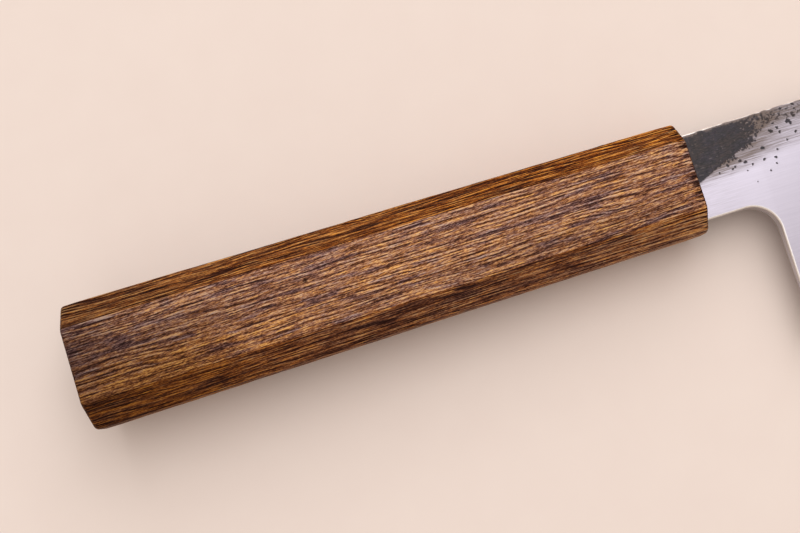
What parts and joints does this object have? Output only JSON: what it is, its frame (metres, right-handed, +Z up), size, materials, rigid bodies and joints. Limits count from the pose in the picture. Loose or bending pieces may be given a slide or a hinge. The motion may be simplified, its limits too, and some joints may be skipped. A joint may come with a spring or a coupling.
{
  "type": "bunka knife",
  "caption": "Japanese kitchen knife with a clipped tip, a layered blade with a black forged neck and satin faces, and an octagonal burnt-oak handle, lying on its side.",
  "frame": {"origin": "on the table, under the middle of the knife as it lies on its left side", "axes": "+X from the butt to the tip, +Y from the cutting edge to the spine, +Z up, out of the blade's right side"},
  "size_m": [0.3102, 0.0508, 0.0259],
  "materials": {
    "burnt_oak": "scorched, brushed open grain, oiled",
    "bedding_resin": "dark cast resin",
    "core_steel": "fine ground and polished at the edge",
    "cladding_steel": "satin ground, with black forge skin left at the neck and along the spine"
  },
  "bodies": {
    "root": {"octagonal_handle": "burnt_oak", "tang_bedding": "bedding_resin", "edge_core": "core_steel", "right_cladding": "cladding_steel", "left_cladding": "cladding_steel"}
  },
  "joints": []
}
